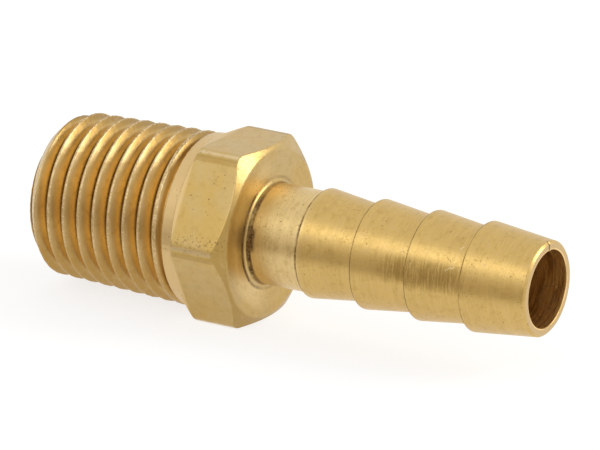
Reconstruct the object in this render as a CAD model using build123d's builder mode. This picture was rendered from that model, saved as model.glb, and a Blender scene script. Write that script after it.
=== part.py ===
"""Hose barb tail, 1/4 NPT male taper pipe thread to a barb for 8 mm (5/16 in) hose.

One piece of turned brass on the X axis: the thread's end face lies at x = 0 and the
barb's mouth at x = overall_length. One flat of the hexagon faces down. Units are mm.
"""

from math import atan, ceil, cos, degrees, radians, tan
import os

from build123d import *

# ---- taper pipe thread, right hand ----------------------------------------------------
inch = 25.4
thread_pitch = inch / 18
thread_taper = 1 / 16  # growth of the diameter along the axis
thread_angle = 60  # between the two flanks, degrees
end_pitch_diameter = 12.126  # pitch diameter at the end face
crest_flat = 0.13
thread_length = 13.9  # end face to the back of the hexagon
end_chamfer = 1.04  # 45 degree lead at the end face
runout_length = 1.92  # where the groove climbs out of the blank
runout_pitch = 1.2  # the die slows as it backs off
runout_rise_above = 0.05  # its root ends this far above the crests
runout_gap = 0.15  # from the end of the groove to the hexagon
runout_start_angle = 180  # turned about X from straight up
lead_in = 0.8  # the groove starts at least this far before the end face
groove_headroom = 0.4  # the cutter's section stands this far proud of the crests

# ---- hexagon ----------------------------------------------------------------------------
hex_across_flats = 14.2
hex_length = 5.0
hex_corner_radius = 1.2  # drawn bar has soft corners
hex_chamfer_angle = 30  # of both end chamfers, from the plane of the face
hex_front_land_diameter = 13.5  # flat part of the face towards the barbs

# ---- neck and barbs ---------------------------------------------------------------------
neck_diameter = 8.1
neck_fillet = 0.42
neck_length = 4.7  # hexagon face to the first barb
barb_count = 4
barb_pitch = 4.83
barb_crest_diameter = 8.8
barb_root_diameter = 7.56
nose_length = 5.5  # last barb's crest to the mouth
mouth_diameter = 7.56
mouth_chamfer = 0.18  # of its outer edge

# ---- bore -------------------------------------------------------------------------------
bore_diameter = 6.2
bore_chamfer = 0.35  # at the thread's end


def thread_cone(diameter_at_end, x):
    """Radius at x of a cone that follows the thread's taper."""
    return diameter_at_end / 2 + x * thread_taper / 2


# Thread section: flanks of half the thread angle run from a sharp root to the crest flat.
flank_slope = tan(radians(thread_angle / 2))
addendum = (thread_pitch / 2 - crest_flat) / 2 / flank_slope
dedendum = thread_pitch / 4 / flank_slope
groove_depth = addendum + dedendum
end_crest_diameter = end_pitch_diameter + 2 * addendum
end_root_diameter = end_pitch_diameter - 2 * dedendum
groove_half_width = (thread_pitch - crest_flat) / 2

# Stations along the axis.
hex_back = thread_length
hex_front = hex_back + hex_length
first_barb = hex_front + neck_length
last_barb = first_barb + (barb_count - 1) * barb_pitch
overall_length = last_barb + nose_length

# The groove makes whole turns, from before the end face to where its run-out begins.
runout_start = thread_length - runout_gap - runout_length
groove_turns = ceil((runout_start + lead_in) / thread_pitch)
groove_length = groove_turns * thread_pitch
groove_start = runout_start - groove_length

# Its root follows the taper, and then climbs out past the crests.
groove_root = thread_cone(end_root_diameter, groove_start)
groove_crest = groove_root + groove_depth
groove_top = groove_crest + groove_headroom
runout_root = thread_cone(end_root_diameter, runout_start)
runout_climb = groove_depth + runout_length * thread_taper / 2 + runout_rise_above


def root_helix(start, length, pitch, radius, climb):
    """Right-hand helix about X from straight above the axis, growing in radius by climb."""
    cone_angle = degrees(atan(climb / length))
    # Helix counts its pitch along the cone, not along the axis.
    return Helix(
        pitch=pitch / cos(radians(cone_angle)),
        height=length,
        radius=radius,
        center=(start, 0, 0),
        direction=(1, 0, 0),
        cone_angle=cone_angle,
    )


# The groove's cutter: the thread section swept along both helices, the second from the
# end face of the first.
with BuildPart() as thread_cutter:
    with BuildLine() as groove_path:
        groove_climb = groove_length * thread_taper / 2
        root_helix(groove_start, groove_length, thread_pitch, groove_root, groove_climb)
    with BuildSketch(Plane.XZ):
        with BuildLine():
            Polyline(
                (groove_start, groove_root),
                (groove_start + groove_half_width, groove_crest),
                (groove_start + groove_half_width, groove_top),
                (groove_start - groove_half_width, groove_top),
                (groove_start - groove_half_width, groove_crest),
                close=True,
            )
        make_face()
    sweep(path=groove_path.line, is_frenet=True)

    with BuildLine() as runout_path:
        root_helix(runout_start, runout_length, runout_pitch, runout_root, runout_climb)
    runout_section = thread_cutter.faces().filter_by(GeomType.PLANE).sort_by(Axis.X)[-1]
    sweep(sections=runout_section, path=runout_path.line, is_frenet=True)

# ---- the hexagon's end chamfers ---------------------------------------------------------
chamfer_slope = tan(radians(hex_chamfer_angle))
collar_radius = thread_cone(end_crest_diameter, hex_back)
front_land_radius = hex_front_land_diameter / 2
# The two chamfer cones meet well outside the hexagon's corners.
cones_meet_radius = (hex_length / chamfer_slope + collar_radius + front_land_radius) / 2
cones_meet_x = hex_back + (cones_meet_radius - collar_radius) * chamfer_slope

# ---- turned profile, from the end face to the mouth -------------------------------------
end_crest_radius = thread_cone(end_crest_diameter, end_chamfer)
neck_radius = neck_diameter / 2
crest_radius = barb_crest_diameter / 2
root_radius = barb_root_diameter / 2
mouth_radius = mouth_diameter / 2
barb_crests = [first_barb + i * barb_pitch for i in range(barb_count)]

turned_points = [
    (0, 0),
    (0, end_crest_radius - end_chamfer),
    (end_chamfer, end_crest_radius),
    (hex_back, collar_radius),
    (hex_front, front_land_radius),
    (hex_front, neck_radius),
    (first_barb, neck_radius),
]
for crest_x in barb_crests[:-1]:
    turned_points += [(crest_x, crest_radius), (crest_x + barb_pitch, root_radius)]
turned_points += [
    (last_barb, crest_radius),
    (overall_length, mouth_radius),
    (overall_length, 0),
]

# Hexagon bar, one flat down, with both ends chamfered by cones.
with BuildPart() as hexagon:
    with BuildSketch(Plane.YZ.offset(hex_back)) as bar_section:
        RegularPolygon(hex_across_flats / 2, 6, major_radius=False)
        fillet(bar_section.vertices(), hex_corner_radius)
    extrude(amount=hex_length)
    with BuildSketch(Plane.XZ):
        with BuildLine():
            Polyline(
                (hex_back, 0),
                (hex_back, collar_radius),
                (cones_meet_x, cones_meet_radius),
                (hex_front, front_land_radius),
                (hex_front, 0),
                close=True,
            )
        make_face()
    revolve(axis=Axis.X, mode=Mode.INTERSECT)

with BuildPart() as hose_tail:
    # Thread blank, neck and barbs.
    with BuildSketch(Plane.XZ) as turned_profile:
        with BuildLine():
            Polyline(*turned_points, close=True)
        make_face()
        # Corners are found in the sketch's own axes: station, then radius.
        neck_root = turned_profile.vertices().sort_by_distance((hex_front, neck_radius))[0]
        fillet(neck_root, neck_fillet)
        mouth_edge = turned_profile.vertices().sort_by_distance((overall_length, mouth_radius))[0]
        chamfer(mouth_edge, mouth_chamfer)
    revolve(axis=Axis.X)

    # The thread is cut before the hexagon stands in the cutter's way.
    add(thread_cutter, rotation=(runout_start_angle, 0, 0), mode=Mode.SUBTRACT)
    add(hexagon)

    # Bore, right through, chamfered at the thread's end.
    with BuildSketch(Plane.YZ):
        Circle(bore_diameter / 2)
    extrude(amount=overall_length, mode=Mode.SUBTRACT)
    bore_end = hose_tail.edges().filter_by(GeomType.CIRCLE).group_by(Axis.X)[0].sort_by(SortBy.RADIUS)[0]
    chamfer(bore_end, bore_chamfer)

hose_tail.part.label = "hose_tail"
os.makedirs("parts", exist_ok=True)
export_step(hose_tail.part, "parts/hose_tail.step")
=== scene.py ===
"""Dressed model of a brass hose tail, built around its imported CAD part.

One fine mesh stands for the CAD solid: the same taper thread, hexagon, barbs and bore,
with soft edges, burrs and small damage, in a procedural turned-brass material.
Lengths are metres in the CAD's frame: X is the axis, and one hexagon flat lies down.
"""

import math

import bpy
import numpy as np
from mathutils import Matrix, Vector


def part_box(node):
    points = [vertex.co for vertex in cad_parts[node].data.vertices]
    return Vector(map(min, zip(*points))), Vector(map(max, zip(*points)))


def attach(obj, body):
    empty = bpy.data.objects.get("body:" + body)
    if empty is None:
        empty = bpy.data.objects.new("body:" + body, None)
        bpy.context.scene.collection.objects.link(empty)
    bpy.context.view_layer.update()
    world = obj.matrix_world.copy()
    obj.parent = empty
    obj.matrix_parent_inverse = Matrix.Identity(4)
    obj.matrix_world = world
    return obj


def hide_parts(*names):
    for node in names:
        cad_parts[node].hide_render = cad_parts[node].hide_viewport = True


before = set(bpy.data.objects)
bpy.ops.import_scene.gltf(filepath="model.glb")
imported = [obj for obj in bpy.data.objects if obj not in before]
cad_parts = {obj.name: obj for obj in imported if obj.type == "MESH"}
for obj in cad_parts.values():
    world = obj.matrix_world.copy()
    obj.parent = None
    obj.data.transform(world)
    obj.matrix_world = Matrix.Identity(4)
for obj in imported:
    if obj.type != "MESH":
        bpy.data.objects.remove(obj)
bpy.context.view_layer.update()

MM = 0.001

# ---- sizes, the same as the CAD part's -------------------------------------------------
PITCH = 25.4 / 18 * MM
TAPER = 1 / 32  # growth of the radius along the axis
FLANK = math.tan(math.radians(30))  # half the thread's 60 degrees
PITCH_RADIUS = 12.126 / 2 * MM
CREST_FLAT = 0.13 * MM
THREAD_LENGTH = 13.9 * MM
END_CHAMFER = 1.04 * MM
RUNOUT_LENGTH = 1.92 * MM
RUNOUT_PITCH = 1.2 * MM
RUNOUT_RISE_ABOVE = 0.05 * MM
RUNOUT_GAP = 0.15 * MM
RUNOUT_ANGLE = 1.5 * math.pi  # about X, from +Y

HEX_HALF = 7.1 * MM  # across flats, halved
HEX_LENGTH = 5.0 * MM
HEX_CORNER = 1.2 * MM
CHAMFER_SLOPE = math.tan(math.radians(30))
LAND_RADIUS = 6.75 * MM

NECK_RADIUS = 4.05 * MM
NECK_FILLET = 0.42 * MM
NECK_LENGTH = 4.7 * MM
BARBS = 4
BARB_PITCH = 4.83 * MM
BARB_CREST = 4.4 * MM
BARB_ROOT = 3.78 * MM
NOSE_LENGTH = 5.5 * MM
NOSE_SLOPE = 0.11
MOUTH_RADIUS = 3.78 * MM
MOUTH_CHAMFER = 0.18 * MM
BORE_RADIUS = 3.1 * MM
BORE_CHAMFER = 0.35 * MM

ADDENDUM = (PITCH / 2 - CREST_FLAT) / 2 / FLANK
DEDENDUM = PITCH / 4 / FLANK
GROOVE_DEPTH = ADDENDUM + DEDENDUM
CREST_AT_END = PITCH_RADIUS + ADDENDUM
ROOT_AT_END = PITCH_RADIUS - DEDENDUM
CHAMFER_AT_END = CREST_AT_END + END_CHAMFER * TAPER - END_CHAMFER
COLLAR_RADIUS = CREST_AT_END + THREAD_LENGTH * TAPER
HEX_FRONT = THREAD_LENGTH + HEX_LENGTH
FIRST_BARB = HEX_FRONT + NECK_LENGTH
LAST_BARB = FIRST_BARB + (BARBS - 1) * BARB_PITCH
MOUTH = LAST_BARB + NOSE_LENGTH
RUNOUT_START = THREAD_LENGTH - RUNOUT_GAP - RUNOUT_LENGTH

# ---- soft edges ------------------------------------------------------------------------
CREST_ROUNDING = 0.11 * MM
FLANK_ROUNDING = 1.5 * MM
FLANK_BULGE = 0.05 * MM
ROOT_ROUNDING = 0.04 * MM
THREAD_EDGE_STEPS = 2

COLLAR_ROUNDING = 0.04 * MM
HEX_BACK_ROUNDING = 0.16 * MM
HEX_FRONT_ROUNDING = 0.12 * MM
LAND_ROUNDING = 0.5 * MM
BARB_CREST_ROUNDING = 0.10 * MM
BARB_ROOT_ROUNDING = 0.05 * MM
NOSE_ROUNDING = 0.12 * MM
MOUTH_ROUNDING = 0.08 * MM
MOUTH_BORE_ROUNDING = 0.07 * MM
BORE_ROUNDING = 0.04 * MM
END_FACE_ROUNDING = 0.03 * MM
BODY_EDGE_STEPS = 4
RUN_SHARE = 0.45  # the most of a run that the rounding at one end of it may take

# ---- burrs and damage ------------------------------------------------------------------
CREST_BAND = 0.25 * MM  # a crest's unevenness fades out this far below it
FINE_BURR = 0.010 * MM
SLOW_BURR = 0.012 * MM
END_BURR_STATION = 1.3 * MM
END_BURR_ANGLE = math.radians(92)
END_BURR_HEIGHT = 0.09 * MM
END_BURR_LENGTH = 0.35 * MM
END_BURR_TURN = 0.05  # radians
NICK_ANGLE = math.radians(89.5)
NICK_DEPTH = 0.15 * MM
NICK_LENGTH = 0.3 * MM
NICK_EDGE = 0.09 * MM  # the pushed metal lies this near the bore's wall
# How far the nick pushed the rim into the bore, by columns from its middle.
NICK_PUSHES = {1: 0.03 * MM, -1: 0.06 * MM, -2: 0.07 * MM, -3: 0.03 * MM}

# ---- mesh ------------------------------------------------------------------------------
FLAT_COLUMNS = 36
CORNER_COLUMNS = 12
LONGEST_RUN = 0.8 * MM
COLLAR_START = THREAD_LENGTH - 0.12 * MM  # the thread's mesh ends here
WELD_GRID = 1e-8
END_FACE_SKIN = 0.02 * MM  # groove depths start behind this
BORE_MARGIN = 0.2 * MM  # and outside this, round the bore's chamfer
# Angle from the middle of a flat to where its corner's rounding starts.
FLAT_END = math.atan((HEX_HALF - HEX_CORNER) * math.tan(math.pi / 6) / HEX_HALF)


def column_angles():
    """Angles about X, from +Y towards +Z, closest together over the hexagon's corners."""
    half_corner = math.pi / 6 - FLAT_END
    corner = np.linspace(-half_corner, half_corner, CORNER_COLUMNS, endpoint=False)
    flat = np.linspace(half_corner, math.pi / 3 - half_corner, FLAT_COLUMNS, endpoint=False)
    sector = np.concatenate([corner, flat])
    return np.concatenate([sector + k * math.pi / 3 for k in range(6)])


ANGLES = column_angles()
COLUMNS = len(ANGLES)
rng = np.random.default_rng(7)


def wave_noise(angle, x, waves, lowest, highest, per_mm):
    """Smooth seeded noise over angle and station, closed round the turn, about -1 to 1."""
    total = np.zeros(np.broadcast(angle, x).shape)
    for _ in range(waves):
        around = rng.integers(lowest, highest)
        along = rng.uniform(-per_mm, per_mm) / MM
        phase = rng.uniform(0, 2 * math.pi)
        total = total + np.sin(around * angle + along * x + phase)
    return total / math.sqrt(waves)


def rounded(points, radii, steps):
    """Rounds the inner corners of one polyline a column.

    points is rows x columns x 2 (station, radius), radii has one value an inner corner.
    Every column gets as many points back: steps + 1 a rounded corner.
    """
    rows = [points[0]]
    for i, radius in enumerate(radii, start=1):
        before = points[i - 1] - points[i]
        after = points[i + 1] - points[i]
        length_before = np.linalg.norm(before, axis=1) + 1e-12
        length_after = np.linalg.norm(after, axis=1) + 1e-12
        cosine = (before * after).sum(1) / length_before / length_after
        half_turn = (math.pi - np.arccos(np.clip(cosine, -1, 1))) / 2
        longest = RUN_SHARE * np.minimum(length_before, length_after)
        reach = np.minimum(radius * np.tan(half_turn), longest)
        start = points[i] + before * (reach / length_before)[:, None]
        end = points[i] + after * (reach / length_after)[:, None]
        for t in np.linspace(0, 1, steps + 1):
            rows.append(start * (1 - t) ** 2 + points[i] * 2 * t * (1 - t) + end * t ** 2)
    rows.append(points[-1])
    return np.array(rows)


def divided(rows, longest):
    """Adds rows so that no run is longer than longest in any column."""
    out = [rows[0]]
    for a, b in zip(rows[:-1], rows[1:]):
        count = max(1, math.ceil(np.linalg.norm(b - a, axis=1).max() / longest))
        for t in np.arange(1, count + 1) / count:
            out.append(a * (1 - t) + b * t)
    return np.array(out)


# ---- thread ----------------------------------------------------------------------------
def blank_radius(x):
    """Radius of the uncut blank: the end chamfer and then the taper."""
    return np.minimum(CHAMFER_AT_END + x, CREST_AT_END + x * TAPER)


def flank_meets_blank(centre, root, side):
    """Point where a flank, side -1 or 1, comes out of the blank."""
    radius = np.full_like(centre, np.inf)
    for start, slope in ((CHAMFER_AT_END, 1.0), (CREST_AT_END, TAPER)):
        met = (start + slope * (centre - side * root * FLANK)) / (1 - side * slope * FLANK)
        radius = np.minimum(radius, met)
    radius = np.maximum(radius, root)
    return np.stack([centre + side * (radius - root) * FLANK, radius], 1)


def groove_points(turn):
    """One turn's left crest edge, root and right crest edge, for every column."""
    turned = (ANGLES - RUNOUT_ANGLE) / (2 * math.pi) + turn
    centre = RUNOUT_START + np.where(turned < 0, PITCH, RUNOUT_PITCH) * turned
    climbing = np.clip((centre - RUNOUT_START) / RUNOUT_LENGTH, 0, 2)
    climb = GROOVE_DEPTH + RUNOUT_RISE_ABOVE
    root = np.minimum(ROOT_AT_END + centre * TAPER + climb * climbing, blank_radius(centre))
    left = flank_meets_blank(centre, root, -1)
    right = flank_meets_blank(centre, root, 1)
    return left, np.stack([centre, root], 1), right


def crest_middle(turn):
    """The middle of the crest before a turn's groove."""
    x = (groove_points(turn - 1)[2][:, 0] + groove_points(turn)[0][:, 0]) / 2
    return np.stack([x, blank_radius(x)], 1)


def flank_middle(edge, root):
    """Middle of a flank, a little proud of the straight line from its edge to the root."""
    run = root - edge
    side = np.sign(run[:, :1])
    deep = (edge[:, 1:] - root[:, 1:]) / GROOVE_DEPTH
    outward = np.array([1, FLANK]) * np.concatenate([side, np.ones_like(side)], 1)
    return (edge + root) / 2 + outward * math.cos(math.radians(30)) * FLANK_BULGE * deep


def one_groove(turn):
    """Rows of (station, radius) over one pitch of the thread, for every column."""
    left, root, right = groove_points(turn)
    points = [crest_middle(turn), left, flank_middle(left, root), root,
              flank_middle(right, root), right, crest_middle(turn + 1)]
    radii = [CREST_ROUNDING, FLANK_ROUNDING, ROOT_ROUNDING, FLANK_ROUNDING, CREST_ROUNDING]
    return rounded(np.array(points), radii, THREAD_EDGE_STEPS)[:-1]


def thread_rows():
    """Rows of the whole thread, before they are cut off, and the rows to one turn.

    Column 0 continues the last column one turn on, so rows shift by one groove there.
    """
    first_turn = -math.ceil(RUNOUT_START / PITCH) - 2
    last_turn = 3
    grooves = [one_groove(turn) for turn in range(first_turn, last_turn + 1)]
    return np.concatenate(grooves), len(grooves[0])


def burr(x, radius, angle):
    """Uneven crests: small swellings and chips where the radius is near the blank's."""
    height = np.clip((radius - blank_radius(x)) / CREST_BAND + 1, 0, 1)
    fine = wave_noise(angle, x, waves=14, lowest=20, highest=90, per_mm=3.0) * FINE_BURR
    slow = wave_noise(angle, x, waves=8, lowest=2, highest=9, per_mm=0.6) * SLOW_BURR
    turned = np.angle(np.exp(1j * (angle - END_BURR_ANGLE)))
    away = ((x - END_BURR_STATION) / END_BURR_LENGTH) ** 2 + (turned / END_BURR_TURN) ** 2
    return height * (fine + slow + END_BURR_HEIGHT * np.exp(-away))


def clamp_thread(rows):
    """Cuts the rows off at the end face and at the collar, at each column's crossing."""
    out = rows.copy()
    for limit, below in ((0.0, True), (COLLAR_START, False)):
        outside = out[:, :, 0] < limit if below else out[:, :, 0] > limit
        for column in range(COLUMNS):
            flags = outside[:, column]
            inner = np.argmax(~flags) if below else len(flags) - 1 - np.argmax(~flags[::-1])
            outer = inner - 1 if below else inner + 1
            a = out[inner, column]
            b = out[outer, column]
            t = (limit - a[0]) / (b[0] - a[0])
            out[flags, column] = a + (b - a) * t
    at_collar = out[:, :, 0] >= COLLAR_START
    out[at_collar, 1] = CREST_AT_END + COLLAR_START * TAPER
    return out


# ---- hexagon, neck, barbs and bore -----------------------------------------------------
def hex_radius():
    """Distance from the axis to the hexagon's side in every column, corners rounded."""
    from_corner = (ANGLES + math.pi / 6) % (math.pi / 3) - math.pi / 6
    from_flat = math.pi / 6 - np.abs(from_corner)
    flat = HEX_HALF / np.cos(from_flat)
    centre = (HEX_HALF - HEX_CORNER) / math.cos(math.pi / 6)
    inside = np.maximum(HEX_CORNER ** 2 - (centre * np.sin(from_corner)) ** 2, 0)
    corner = centre * np.cos(from_corner) + np.sqrt(inside)
    return np.where(from_flat > FLAT_END, corner, flat)


def body_rows(end_ring):
    """Rows from the collar over the hexagon and barbs, through the bore, to the end ring."""
    sides = hex_radius()
    back = THREAD_LENGTH + (sides - COLLAR_RADIUS) * CHAMFER_SLOPE
    front = HEX_FRONT - (sides - LAND_RADIUS) * CHAMFER_SLOPE
    points = []
    radii = []

    def corner(x, radius, rounding):
        x = np.broadcast_to(x, COLUMNS)
        radius = np.broadcast_to(radius, COLUMNS)
        points.append(np.stack([x, radius], 1))
        radii.append(rounding)

    corner(THREAD_LENGTH, COLLAR_RADIUS, COLLAR_ROUNDING)
    corner(back, sides, HEX_BACK_ROUNDING)
    corner(front, sides, HEX_FRONT_ROUNDING)
    corner(HEX_FRONT, LAND_RADIUS, LAND_ROUNDING)
    corner(HEX_FRONT, NECK_RADIUS, NECK_FILLET)
    corner(FIRST_BARB, NECK_RADIUS, BARB_ROOT_ROUNDING)
    for i in range(BARBS):
        crest = FIRST_BARB + i * BARB_PITCH
        corner(crest, BARB_CREST, BARB_CREST_ROUNDING)
        if i < BARBS - 1:
            corner(crest + BARB_PITCH, BARB_ROOT, BARB_ROOT_ROUNDING)
    corner(MOUTH - MOUTH_CHAMFER, MOUTH_RADIUS + MOUTH_CHAMFER * NOSE_SLOPE, NOSE_ROUNDING)
    corner(MOUTH, MOUTH_RADIUS - MOUTH_CHAMFER, MOUTH_ROUNDING)
    corner(MOUTH, BORE_RADIUS, MOUTH_BORE_ROUNDING)
    corner(BORE_CHAMFER, BORE_RADIUS, BORE_ROUNDING)
    corner(0, BORE_RADIUS + BORE_CHAMFER, END_FACE_ROUNDING)
    collar = (COLLAR_START, CREST_AT_END + COLLAR_START * TAPER)
    collar_ring = np.broadcast_to(collar, (COLUMNS, 2))
    rows = rounded(np.array([collar_ring, *points, end_ring]), radii, BODY_EDGE_STEPS)
    return divided(rows, LONGEST_RUN)


def nick_mouth(rows):
    """A small nick across the mouth's rim, with the metal it pushed into the bore."""
    station = rows[:, :, 0]
    radius = rows[:, :, 1]
    rim = np.clip((station - MOUTH) / NICK_LENGTH + 1, 0, 1)
    column = np.argmin(np.abs(ANGLES - NICK_ANGLE))
    station[:, column] -= NICK_DEPTH * rim[:, column]
    for step, push in NICK_PUSHES.items():
        inner = rim[:, column + step] * (radius[:, column + step] < BORE_RADIUS + NICK_EDGE)
        radius[:, column + step] -= push * inner


def grid_mesh(grid, start, shift):
    """Points and quads of a grid of rows, its points numbered from start.

    The last column joins the first one shift rows further on.
    """
    count = len(grid)
    station = grid[:, :, 0]
    radius = grid[:, :, 1]
    xyz = np.stack([station, radius * np.cos(ANGLES), radius * np.sin(ANGLES)], 2)
    index = start + np.arange(count * COLUMNS).reshape(count, COLUMNS)
    wrapped = np.full((count, 1), -1)
    wrapped[: count - shift, 0] = index[shift:, 0]
    index = np.concatenate([index, wrapped], 1)
    quads = np.stack([index[:-1, :-1], index[:-1, 1:], index[1:, 1:], index[1:, :-1]], 2)
    quads = quads.reshape(-1, 4)
    return xyz.reshape(-1, 3), quads[(quads >= 0).all(1)]


def weld(points, quads):
    """Joins points that coincide, and drops faces that have no area left."""
    keys = np.round(points / WELD_GRID).astype(np.int64)
    _, first, inverse = np.unique(keys, axis=0, return_index=True, return_inverse=True)
    points = points[first]
    polygons = []
    for quad in inverse.reshape(-1)[quads]:
        ring = [v for i, v in enumerate(quad) if v != quad[i - 1]]
        if len(set(ring)) >= 3 and len(set(ring)) == len(ring):
            polygons.append([int(v) for v in ring])
    return points, polygons


def build_body():
    """The whole surface as one closed mesh."""
    thread, per_turn = thread_rows()
    thread[:, :, 1] += burr(thread[:, :, 0], thread[:, :, 1], ANGLES[None, :])
    thread = clamp_thread(thread)
    body = body_rows(end_ring=thread[0])
    nick_mouth(body)
    thread_points, thread_quads = grid_mesh(thread, 0, per_turn)
    body_points, body_quads = grid_mesh(body, len(thread_points), 0)
    return weld(np.concatenate([thread_points, body_points]),
                np.concatenate([thread_quads, body_quads]))


def groove_share(points):
    """How deep each point lies in the thread's groove: 0 at the crests, 1 at the root."""
    radius = np.hypot(points[:, 1], points[:, 2])
    share = (blank_radius(points[:, 0]) - radius) / GROOVE_DEPTH
    beyond_end_face = points[:, 0] > END_FACE_SKIN
    out_of_bore = radius > BORE_RADIUS + BORE_CHAMFER + BORE_MARGIN
    threaded = beyond_end_face & out_of_bore & (points[:, 0] < COLLAR_START)
    return np.where(threaded, np.clip(share, 0, 1), 0)


def area_normals(points, polygons):
    """Vertex normals weighted by area, so that big faces stay flat beside small corners."""
    normals = np.zeros_like(points)
    for ring in polygons:
        a, b, c = points[ring[0]], points[ring[1]], points[ring[2]]
        if len(ring) == 4:
            normal = np.cross(c - a, points[ring[3]] - b)
        else:
            normal = np.cross(b - a, c - a)
        for v in ring:
            normals[v] += normal
    lengths = np.linalg.norm(normals, axis=1, keepdims=True)
    return normals / np.maximum(lengths, 1e-20)


def make_tail():
    """The tail's object, with how deep each point lies in the groove for its material."""
    points, polygons = build_body()
    mesh = bpy.data.meshes.new("hose_tail_fine")
    mesh.from_pydata(points.tolist(), [], polygons)
    mesh.validate()
    tail = bpy.data.objects.new("hose_tail_fine", mesh)
    bpy.context.scene.collection.objects.link(tail)
    mesh.polygons.foreach_set("use_smooth", [True] * len(mesh.polygons))
    mesh.normals_split_custom_set_from_vertices(area_normals(points, polygons))
    groove = mesh.attributes.new("groove", "FLOAT", "POINT")
    groove.data.foreach_set("value", groove_share(points))
    return tail


# ---- node trees ------------------------------------------------------------------------
class Nodes:
    """Short calls for building the node tree of a material or the world."""

    def __init__(self, owner):
        owner.use_nodes = True
        self.tree = owner.node_tree
        self.tree.nodes.clear()

    def put(self, socket, value):
        if isinstance(value, bpy.types.NodeSocket):
            self.tree.links.new(value, socket)
        else:
            socket.default_value = value

    def add(self, kind, settings=None, **inputs):
        """A node, with its settings and its inputs by name."""
        node = self.tree.nodes.new(kind)
        for name, value in (settings or {}).items():
            setattr(node, name, value)
        for name, value in inputs.items():
            self.put(node.inputs[name], value)
        return node

    def numbered(self, kind, settings, values):
        """The first output of a node whose inputs are given by number."""
        node = self.add(kind, settings)
        for number, value in values.items():
            self.put(node.inputs[number], value)
        return node.outputs[0]

    def math(self, operation, *values):
        return self.numbered("ShaderNodeMath", {"operation": operation}, dict(enumerate(values)))

    def joined(self, operation, values):
        total = values[0]
        for value in values[1:]:
            total = self.math(operation, total, value)
        return total

    def times(self, *values):
        return self.joined("MULTIPLY", values)

    def plus(self, *values):
        return self.joined("ADD", values)

    def most(self, *values):
        return self.joined("MAXIMUM", values)

    def minus(self, a, b):
        return self.math("SUBTRACT", a, b)

    def over(self, a, b):
        return self.math("DIVIDE", a, b)

    def size(self, value):
        return self.math("ABSOLUTE", value)

    def wrap(self, value, low, high):
        return self.math("WRAP", value, high, low)

    def scale(self, vector, factors):
        settings = {"operation": "MULTIPLY"}
        return self.numbered("ShaderNodeVectorMath", settings, {0: vector, 1: factors})

    def noise(self, vector, detail, roughness):
        node = self.add("ShaderNodeTexNoise", Vector=vector, Scale=1.0, Detail=detail,
                        Roughness=roughness)
        return node.outputs["Fac"]

    def ramp(self, value, low, high, to_low=0.0, to_high=1.0):
        """Eases from to_low to to_high while the value goes from low to high."""
        settings = {"interpolation_type": "SMOOTHSTEP"}
        values = {0: value, 1: low, 2: high, 3: to_low, 4: to_high}
        return self.numbered("ShaderNodeMapRange", settings, values)

    def band(self, value, start, full, waning, end):
        """1 from full to waning, eased down to 0 at start and at end."""
        return self.times(self.ramp(value, start, full), self.ramp(value, end, waning))

    def between(self, value, low, high, soft):
        return self.band(value, low - soft, low + soft, high - soft, high + soft)

    def blend(self, factor, a, b):
        return self.numbered("ShaderNodeMix", {"data_type": "FLOAT"}, {0: factor, 2: a, 3: b})

    def mix(self, factor, a, b):
        node = self.add("ShaderNodeMix", {"data_type": "RGBA"})
        for number, value in ((0, factor), (6, a), (7, b)):
            self.put(node.inputs[number], value)
        return node.outputs[2]


# ---- brass: its colours and where they change ------------------------------------------
BRASS = (0.56, 0.375, 0.12, 1)
BRASS_PALE = (0.555, 0.40, 0.17, 1)
BRASS_DEEP = (0.40, 0.255, 0.075, 1)
BRASS_THREAD = (0.56, 0.395, 0.175, 1)
# Painted light in the thread's grooves.
BRASS_LIT_FLANK = (0.88, 0.62, 0.24, 1)
# Painted shade on the thread's top and underside.
BRASS_TOP_SHADE = (0.36, 0.22, 0.065, 1)
BRASS_UNDER_SHADE = (0.46, 0.28, 0.08, 1)
BRASS_WORN = (0.88, 0.72, 0.46, 1)
BRASS_ROSY = (0.60, 0.42, 0.21, 1)
# Painted light from the neck on.
BRASS_LIGHT = (0.64, 0.435, 0.15, 1)
# Painted light on the neck and on part of the land.
BRASS_NECK_LIT = (0.74, 0.55, 0.25, 1)
BRASS_COLLAR = (0.70, 0.50, 0.24, 1)
# Painted light in the bore.
BORE_BRASS_LIT = (0.97, 0.68, 0.29, 1)
BORE_MARKS = (0.52, 0.30, 0.09, 1)
# Dirt, and painted shade in the hollows, with a painted dark reflection.
GRIME_AND_SHADE = (0.10, 0.050, 0.022, 1)


def beyond(size, *offsets):
    """Places in millimetres, each at its offset from a size: the material's own unit."""
    return tuple(size / MM + offset for offset in offsets)


# Stations along the axis.
WORN_CRESTS = (0.2, *beyond(THREAD_LENGTH, -1.35))
THREAD_END = beyond(THREAD_LENGTH, -1.0, -0.4)
COLLAR = beyond(THREAD_LENGTH, -1.15, 0.5)
HEX_FLATS = (*beyond(THREAD_LENGTH, 0.1), *beyond(HEX_FRONT, -0.1))
HEX_FRONT_CONE = beyond(HEX_FRONT, -1.0, -0.04)
HEX_LAND = beyond(HEX_FRONT, -0.4, 0.4)
COVE = beyond(HEX_FRONT, -0.05, 0.6)
COVE_INNER_END = beyond(HEX_FRONT, 0.44, 0.6)
NECK_SPOT = beyond(HEX_FRONT, 0.2, 0.8)
NECK_START = beyond(HEX_FRONT, 0.3, 0.6)
NECK_END = beyond(FIRST_BARB, -0.3, 0.6)
BARBED = (*beyond(FIRST_BARB, -0.8), *beyond(MOUTH, -3.29))
DARK_REFLECTION_STATIONS = beyond(FIRST_BARB, 7.4, 14.4)
MOUTH_FACE = beyond(MOUTH, -0.39, -0.19)
NICK_STATION = beyond(MOUTH, -0.34, -0.21)

# Radii.
BORE_WALL = beyond(BORE_RADIUS, 0.05, 0.15)
COVE_INNER_LINE = beyond(NECK_RADIUS, 0.06, 0.12)
COVE_OUTER_LINE = beyond(NECK_RADIUS, 0.23, 0.35, 0.49, 0.59)
PALE_LAND = (5.4, 6.4)

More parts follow.
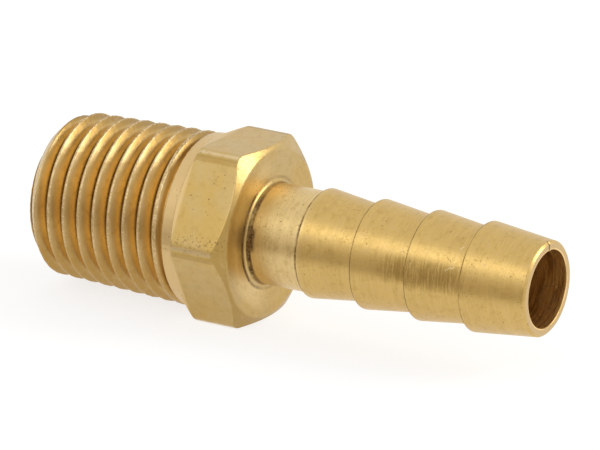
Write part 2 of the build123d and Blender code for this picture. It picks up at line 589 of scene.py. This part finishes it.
STEP_GRIME_AND_SHADE = (-0.35, -0.15, 0.06, 0.13)  # from a barb's step
PALE_LAND_SIDE = (0.5, -2.5)  # along Y
CORNER_DIRT_SIDE = (0.0, -2.0)  # along Y
NICK_HALF_TURN = (0.010, 0.022)  # radians
# Direction about the axis where the dark reflection is painted.
DARK_REFLECTION_ANGLE = math.radians(172)
CORNER_LINE = (math.radians(-1.5), math.radians(0.8))
CORNER_BAND = (math.radians(1.8), math.radians(5.5))
MARKS_STRETCH = 0.07  # turning marks change this much as fast round the axis as along it
MARKS_HEIGHT = 0.014 * MM

# Scratches on the barbs: station, degrees about the axis, slant in radians, length.
SCRATCHES = ((36.8, 160, -0.72, 0.65), (37.15, 158, -0.72, 0.4), (37.4, 132, -1.0, 0.5))
SCRATCH_HALF_WIDTH = (0.025, 0.055)


class Brass(Nodes):
    """The brass's nodes, with what they know about a point of the surface."""

    def __init__(self, material):
        super().__init__(material)
        geometry = self.add("ShaderNodeNewGeometry").outputs
        self.place = self.scale(geometry["Position"], (1 / MM,) * 3)
        split = self.add("ShaderNodeSeparateXYZ", Vector=self.place).outputs
        self.x, self.y, self.z = split["X"], split["Y"], split["Z"]
        squares = self.plus(self.times(self.y, self.y), self.times(self.z, self.z))
        self.radius = self.math("SQRT", squares)
        self.angle = self.math("ARCTAN2", self.z, self.y)
        self.upward = self.over(self.z, self.radius)
        normal = self.add("ShaderNodeSeparateXYZ", Vector=geometry["True Normal"])
        self.facing = normal.outputs["X"]
        attribute = self.add("ShaderNodeAttribute", {"attribute_name": "groove"})
        self.groove = attribute.outputs["Fac"]
        self.find_areas()
        self.make_marks()

    def find_areas(self):
        """Where a point is, from 0 to 1: on the hexagon, in the bore and so on."""
        x = self.x
        self.on_hexagon = self.between(x, *HEX_FLATS, 0.05)
        self.on_flats = self.times(self.on_hexagon, self.ramp(self.size(self.facing), 0.3, 0.15))
        self.in_bore = self.ramp(self.radius, BORE_WALL[1], BORE_WALL[0])
        self.outside = self.minus(1.0, self.in_bore)
        self.threaded = self.ramp(x, THREAD_END[1], THREAD_END[0])
        self.on_barbs = self.between(x, *BARBED, 0.3)
        towards = self.plus(self.times(self.y, math.cos(DARK_REFLECTION_ANGLE)),
                            self.times(self.z, math.sin(DARK_REFLECTION_ANGLE)))
        self.by_dark_reflection = self.over(towards, self.radius)

    def make_marks(self):
        """Turning marks run round the axis, and the drawn flats' streaks along it."""
        self.ring_place = self.add(
            "ShaderNodeCombineXYZ", X=self.plus(self.x, self.radius),
            Y=self.times(self.y, MARKS_STRETCH), Z=self.times(self.z, MARKS_STRETCH)).outputs[0]
        self.fine_marks = self.rings(10, 3.0, 0.7)
        self.grain = self.spots(6, 3.0, 0.6)
        self.mottle = self.spots(1.6, 4.0, 0.65)
        broad_marks = self.rings(2.6, 2.0, 0.5)
        turned = self.plus(self.times(self.fine_marks, 0.7), self.times(broad_marks, 0.4))
        drawn = self.noise(self.scale(self.place, (0.25, 5, 5)), 3.0, 0.6)
        self.marks = self.blend(self.on_flats, turned, self.times(drawn, 0.6))

    def rings(self, per_mm, detail, roughness):
        return self.noise(self.scale(self.ring_place, (per_mm,) * 3), detail, roughness)

    def spots(self, per_mm, detail, roughness):
        return self.noise(self.scale(self.place, (per_mm,) * 3), detail, roughness)

    def tint(self, colour, new, strength, *areas):
        """The colour, moved towards a new one by a strength where all the areas are."""
        return self.mix(self.times(*areas, strength), colour, new)


def step_grime_and_shade(n, patches):
    """Dirt and painted shade at the foot of each barb's step."""
    from_step = n.wrap(n.minus(n.x, FIRST_BARB / MM), -BARB_PITCH / 2 / MM, BARB_PITCH / 2 / MM)
    return n.times(n.band(from_step, *STEP_GRIME_AND_SHADE), n.on_barbs,
                   n.ramp(patches, 0, 1, 0.4, 1.0), n.ramp(n.facing, -0.8, -0.3))


def cove_grime_and_shade(n, patches):
    """Two dark lines round the neck's cove, dirt and painted shade over its highlight, darkest
    on the -Y side.
    """
    inner = n.times(n.ramp(n.radius, COVE_INNER_LINE[1], COVE_INNER_LINE[0]),
                    n.ramp(n.x, COVE_INNER_END[1], COVE_INNER_END[0]))
    lines = n.most(n.band(n.radius, *COVE_OUTER_LINE), inner)
    dark_side = n.ramp(n.over(n.y, n.radius), 0.1, -0.9, 0.3, 0.95)
    return n.times(lines, n.between(n.x, *COVE, 0.05), dark_side, n.ramp(patches, 0, 1, 0.5, 1))


def grime_and_painted_shade(n):
    """Dirt and painted shade in the thread's roots, at the barbs' steps and in the cove, and a
    painted dark reflection in a neck spot.
    """
    patches = n.ramp(n.spots(0.55, 3.0, 0.6), 0.36, 0.62)
    # Dirt and painted shade in the thread's roots, stronger towards the top.
    in_root = n.times(n.ramp(n.groove, 0.72, 0.92), n.ramp(n.upward, -0.9, 0.6, 0.3, 0.95))
    # Painted dark reflection: a spot on the neck, facing the same way as the barbs' painted dark
    # band.
    neck_spot = n.times(n.ramp(n.by_dark_reflection, 0.955, 0.99), n.between(n.x, *NECK_SPOT, 0.25),
                        n.ramp(n.fine_marks, 0.3, 0.5, 0.75, 1.0))
    grime_and_shade = n.most(in_root, step_grime_and_shade(n, patches), cove_grime_and_shade(n, patches), neck_spot)
    speckle = n.ramp(n.grain, 0.42, 0.60)
    return n.times(grime_and_shade, n.ramp(speckle, 0, 1, 0.75, 1.0))


def hexagon_colour(n, colour, past_corner):
    """Painted shade underneath, a pale line on each corner and a dark band beside it, and
    painted shade on the front cone.
    """
    # Painted shade: the hexagon's underside is painted darker.
    colour = n.tint(colour, BRASS_DEEP, 0.4, n.on_hexagon, n.ramp(n.upward, 0.1, -0.8))
    line = n.between(past_corner, *CORNER_LINE, math.radians(0.8))
    colour = n.tint(colour, BRASS_WORN, 0.45, n.on_flats, line)
    band = n.between(past_corner, *CORNER_BAND, math.radians(0.6))
    colour = n.tint(colour, BRASS_DEEP, 0.65, n.on_flats, band)
    # Painted shade: the front cone is painted darker below its top, to hold back its highlight.
    front_cone = n.times(n.between(n.x, *HEX_FRONT_CONE, 0.04),
                         n.between(n.facing, 0.7, 0.93, 0.05))
    return n.tint(colour, BRASS_DEEP, 0.7, front_cone, n.ramp(n.upward, 0.84, 0.68))


def thread_colour(n):
    """Flanks painted lighter than the duller crests, with painted shade on the thread's top and
    underside.
    """
    # Painted light: deeper in the groove, the flanks are painted lighter than the crests.
    colour = n.mix(n.ramp(n.groove, 0.15, 0.75), BRASS_THREAD, BRASS_LIT_FLANK)
    # Painted shade: the thread's top and underside are painted darker.
    on_top = n.times(n.ramp(n.upward, 0.80, 0.93), n.ramp(n.groove, 0.25, 0.60, 1.0, 0.2))
    colour = n.mix(on_top, colour, BRASS_TOP_SHADE)
    under = n.times(n.ramp(n.upward, -0.10, -0.60), n.ramp(n.groove, 0.25, 0.60, 1.0, 0.4))
    return n.mix(under, colour, BRASS_UNDER_SHADE)


def neck_painted_light(n):
    """Painted light: the neck, and the hexagon's land on the -Y side, painted paler."""
    on_neck = n.band(n.x, *NECK_START, *NECK_END)
    on_land = n.times(n.ramp(n.facing, 0.8, 0.95), n.between(n.x, *HEX_LAND, 0.1),
                      n.ramp(n.radius, PALE_LAND[1], PALE_LAND[0]),
                      n.ramp(n.y, *PALE_LAND_SIDE))
    return n.most(on_neck, n.times(on_land, 0.8))


def scratched(n, colour):
    """The colour with a few short bright scratches on it."""
    for station, turned, slant, length in SCRATCHES:
        along = n.minus(n.x, station)
        around = n.times(n.minus(n.angle, math.radians(turned)), BARB_CREST / MM)
        off_line = n.plus(n.times(along, -math.sin(slant)), n.times(around, math.cos(slant)))
        on_line = n.plus(n.times(along, math.cos(slant)), n.times(around, math.sin(slant)))
        narrow = n.ramp(n.size(off_line), SCRATCH_HALF_WIDTH[1], SCRATCH_HALF_WIDTH[0])
        short = n.ramp(n.size(on_line), length / 2, length / 2.6)
        colour = n.tint(colour, BRASS_WORN, 0.42, narrow, n.outside, short)
    return colour


def clean_colour(n, past_corner):
    """The brass's colour with its painted light and shade, without the pits, grime and painted
    shade laid over it afterwards.
    """
    colour = n.mix(n.ramp(n.spots(0.25, 3.0, 0.55), 0.40, 0.68), BRASS, BRASS_PALE)
    # Painted light: from the neck on, the brass is painted lighter than on the hexagon.
    colour = n.mix(n.ramp(n.x, *NECK_START), colour, BRASS_LIGHT)
    # Painted light on the neck and on the -Y side of the land.
    colour = n.mix(neck_painted_light(n), colour, BRASS_NECK_LIT)
    colour = n.mix(n.ramp(n.marks, 0.42, 0.70, 0.0, 0.24), colour, BRASS_DEEP)
    colour = hexagon_colour(n, colour, past_corner)
    colour = n.tint(colour, thread_colour(n), 0.95, n.threaded)
    colour = n.tint(colour, BRASS_DEEP, 0.28, n.ramp(n.mottle, 0.52, 0.66))
    colour = n.tint(colour, BRASS_ROSY, 0.25, n.ramp(n.mottle, 0.46, 0.34))
    colour = n.tint(colour, BRASS_COLLAR, 0.8, n.between(n.x, *COLLAR, 0.15),
                    n.ramp(n.groove, 0.25, 0.05))
    worn = n.times(n.between(n.x, *WORN_CRESTS, 0.15), n.ramp(n.groove, 0.08, 0.02),
                   n.ramp(n.grain, 0.44, 0.58))
    # The worn crests are paler on top than underneath: wear, with a painted highlight on top.
    colour = n.mix(n.times(worn, n.ramp(n.upward, -0.5, 0.1, 0.15, 0.55)), colour, BRASS_WORN)
    on_face = n.times(n.ramp(n.facing, 0.90, 0.97), n.ramp(n.x, *MOUTH_FACE))
    colour = n.tint(colour, BRASS_ROSY, 0.7, on_face)
    # Painted light: the bore's brass is painted much paler, to stand in for light inside it.
    colour = n.mix(n.in_bore, colour, BORE_BRASS_LIT)
    bore_rings = n.ramp(n.rings(4, 4.0, 0.7), 0.44, 0.60)
    colour = n.tint(colour, BORE_MARKS, 0.9, n.in_bore, bore_rings)
    # A painted dark reflection runs along the barbs, in short streaks round the axis.
    dark_reflection = n.times(n.ramp(n.by_dark_reflection, 0.94, 0.985), n.between(n.x, *DARK_REFLECTION_STATIONS, 1.4), n.outside,
                    n.ramp(n.fine_marks, 0.36, 0.58, 0.2, 0.95))
    return scratched(n, n.mix(dark_reflection, colour, BRASS_DEEP))


def brass():
    """Turned brass with its own marks, worn crests, pits and grime, and painted light and shade.
    """
    material = bpy.data.materials.new("turned_brass")
    n = Brass(material)
    past_corner = n.wrap(n.angle, -math.pi / 6, math.pi / 6)
    grime_and_shade = grime_and_painted_shade(n)
    pit_field = n.spots(5.5, 2.0, 0.5)
    pitted = n.ramp(n.spots(0.45, 2.0, 0.5), 0.42, 0.62)
    pits = n.times(n.ramp(pit_field, 0.66, 0.72), pitted, n.minus(1.0, n.threaded))
    corner_dirt = n.times(n.on_hexagon, n.between(n.upward, 0.02, 0.16, 0.06),
                          n.ramp(n.y, *CORNER_DIRT_SIDE), n.ramp(pit_field, 0.52, 0.66), 0.45)
    beside_nick = n.size(n.minus(n.angle, NICK_ANGLE))
    in_nick = n.times(n.ramp(beside_nick, NICK_HALF_TURN[1], NICK_HALF_TURN[0]),
                      n.ramp(n.x, *NICK_STATION))
    # Dirt, pits and the nick, with painted shade in hollows and a painted dark reflection on the
    # neck.
    dirt_and_shade = n.most(grime_and_shade, n.times(pits, 0.6), n.times(in_nick, 0.85), corner_dirt)

    roughness = n.plus(n.ramp(n.grain, 0.3, 0.7, 0.30, 0.40), n.times(grime_and_shade, 0.2))
    height = n.plus(n.marks, n.times(n.grain, 0.3), n.times(n.mottle, 0.5))
    bump = n.add("ShaderNodeBump", Strength=1.0, Distance=MARKS_HEIGHT,
                 Height=n.minus(height, pits))
    shader = n.add("ShaderNodeBsdfPrincipled", Metallic=1.0, Roughness=roughness,
                   Normal=bump.outputs[0])
    n.put(shader.inputs["Base Color"], n.mix(dirt_and_shade, clean_colour(n, past_corner), GRIME_AND_SHADE))
    n.add("ShaderNodeOutputMaterial", Surface=shader.outputs[0])
    return material


# ---- camera ----------------------------------------------------------------------------
# The lens is long: the camera stands over half a metre off.
VIEW_TILT = math.radians(61.788)  # of the axis from the lens's own axis
VIEW_ROLL = math.radians(11.535)  # of the axis below the picture's horizontal
FLAT_TURN = math.radians(15.193)  # of the hexagon in the picture
TARGET = Vector((23 * MM, 0, 0))
TARGET_RIGHT = 1.277 * MM
TARGET_UP = -1.312 * MM
DISTANCE = 553.77 * MM
FOCAL_PIXELS = 7074.5
FRAME_PIXELS = 600
SENSOR = 36.0
AXIS = Vector((1, 0, 0))


def camera_axes():
    """Right, up and forward of the camera in the CAD's frame."""
    axis = np.array([
        math.sin(VIEW_TILT) * math.cos(VIEW_ROLL),
        -math.sin(VIEW_TILT) * math.sin(VIEW_ROLL),
        -math.cos(VIEW_TILT),
    ])
    up = np.array([0.0, 1.0, 0.0])
    ez = up - up.dot(axis) * axis
    ez /= np.linalg.norm(ez)
    ey = np.cross(ez, axis)
    y_turn = math.radians(150) + FLAT_TURN
    z_turn = math.radians(60) + FLAT_TURN
    columns = np.stack([
        axis,
        ey * math.cos(y_turn) + ez * math.sin(y_turn),
        ey * math.cos(z_turn) + ez * math.sin(z_turn),
    ], axis=1)
    return [Vector(row) for row in columns]


RIGHT, UP, FORWARD = camera_axes()
ACROSS = (AXIS * FORWARD.x - FORWARD).normalized()  # square to the axis, to the lens
ABOVE = AXIS.cross(-ACROSS).normalized()


def make_camera():
    data = bpy.data.cameras.new("camera")
    data.sensor_width = SENSOR
    data.sensor_fit = "HORIZONTAL"
    data.lens = FOCAL_PIXELS * SENSOR / FRAME_PIXELS
    data.clip_start = 0.01
    data.clip_end = 20
    camera = bpy.data.objects.new("camera", data)
    place = TARGET - TARGET_RIGHT * RIGHT - TARGET_UP * UP - DISTANCE * FORWARD
    turn = Matrix((RIGHT, UP, -FORWARD)).transposed()
    camera.matrix_world = Matrix.Translation(place) @ turn.to_4x4()
    bpy.context.scene.collection.objects.link(camera)
    bpy.context.scene.camera = camera


# ---- studio ----------------------------------------------------------------------------
# A lamp's aim is along the axis, above it in the picture and towards the lens.
LAMPS = {
    "key": {"aim": (-0.10, 0.36, 0.90), "width": 0.30, "height": 0.22, "watts": 0.28},
    "rim": {"aim": (0.77, 0.593, -0.24), "width": 0.30, "height": 0.30, "watts": 1.3},
}
LAMP_DISTANCE = 0.6
WORLD_LIGHT = 0.55
FLOOR_HALF = 3.0
FLOOR_GREY = 0.38
FLOOR_GLOW = 0.76
CARD_SHADE = (0.74, 0.67, 0.58, 1)
CARD_WIDTH = 0.36
CARD_MIDDLE = 25 * MM
SHEET_NEAR = 19 * MM
SHEET_FAR = 300 * MM
SHEET_LIFT = 0.3 * MM
BOARD_HEIGHT = 90 * MM


def make_lamp(name, aim, width, height, watts):
    data = bpy.data.lights.new(name, "AREA")
    data.shape = "RECTANGLE"
    data.size = width
    data.size_y = height
    data.energy = watts
    light = bpy.data.objects.new(name, data)
    along, above, across = aim
    direction = (AXIS * along + ABOVE * above + ACROSS * across).normalized()
    turn = direction.to_track_quat("Z", "Y").to_matrix().to_4x4()
    light.matrix_world = Matrix.Translation(TARGET + direction * LAMP_DISTANCE) @ turn
    light.visible_camera = False
    bpy.context.scene.collection.objects.link(light)


def flat_piece(name, width, height, material):
    """A rectangle about its own origin, linked into the scene."""
    mesh = bpy.data.meshes.new(name)
    w = width / 2
    h = height / 2
    mesh.from_pydata([(-w, -h, 0), (w, -h, 0), (w, h, 0), (-w, h, 0)], [], [(0, 1, 2, 3)])
    mesh.materials.append(material)
    piece = bpy.data.objects.new(name, mesh)
    bpy.context.scene.collection.objects.link(piece)
    return piece


def floor_material():
    """Pale grey that glows up to white, so that the part's shadow still shows."""
    material = bpy.data.materials.new("floor_pale")
    n = Nodes(material)
    diffuse = n.add("ShaderNodeBsdfDiffuse", Color=(FLOOR_GREY, FLOOR_GREY, FLOOR_GREY, 1))
    glow = n.add("ShaderNodeEmission", Color=(1, 1, 1, 1), Strength=FLOOR_GLOW)
    shaders = {0: diffuse.outputs[0], 1: glow.outputs[0]}
    both = n.numbered("ShaderNodeAddShader", {}, shaders)
    n.add("ShaderNodeOutputMaterial", Surface=both)
    return material


def card_material(name):
    material = bpy.data.materials.new(name)
    n = Nodes(material)
    diffuse = n.add("ShaderNodeBsdfDiffuse", Color=CARD_SHADE)
    n.add("ShaderNodeOutputMaterial", Surface=diffuse.outputs[0])
    return material


def make_card(name, height, matrix):
    """A plain card that only the metal's reflections see."""
    card = flat_piece(name, CARD_WIDTH, height, card_material(name))
    card.matrix_world = matrix
    card.visible_camera = False
    card.visible_shadow = False
    card.visible_diffuse = False


def make_cards(floor_z):
    """A card on the floor in front of the part, and one that stands at its far edge."""
    forward = Vector((0, ACROSS.y, 0)).normalized()
    middle = Vector((CARD_MIDDLE, 0, floor_z))
    lift = Vector((0, 0, SHEET_LIFT))
    lying = Matrix.Translation(middle + lift + forward * (SHEET_NEAR + SHEET_FAR) / 2)
    make_card("front_sheet", SHEET_FAR - SHEET_NEAR, lying)
    turn = forward.to_track_quat("Z", "Y").to_matrix().to_4x4()
    lift = Vector((0, 0, BOARD_HEIGHT / 2))
    standing = Matrix.Translation(middle + lift + forward * SHEET_FAR) @ turn
    make_card("front_board", BOARD_HEIGHT, standing)


def make_world():
    """White where the camera, reflections or glass see it, and softer as light."""
    world = bpy.data.worlds.new("studio")
    n = Nodes(world)
    rays = n.add("ShaderNodeLightPath").outputs
    seen = n.most(rays["Is Camera Ray"], rays["Is Glossy Ray"], rays["Is Transmission Ray"])
    background = n.add("ShaderNodeBackground", Color=(1, 1, 1, 1),
                       Strength=n.blend(seen, WORLD_LIGHT, 1.0))
    n.add("ShaderNodeOutputWorld", Surface=background.outputs[0])
    bpy.context.scene.world = world


def make_studio():
    floor_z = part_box("hose_tail")[0].z
    make_camera()
    make_world()
    floor = flat_piece("floor", 2 * FLOOR_HALF, 2 * FLOOR_HALF, floor_material())
    floor.location.z = floor_z
    for name, values in LAMPS.items():
        make_lamp(name, **values)
    make_cards(floor_z)


tail = make_tail()
tail.data.materials.append(brass())
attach(tail, "root")
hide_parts("hose_tail")
make_studio()

bpy.context.scene.view_settings.view_transform = "Standard"
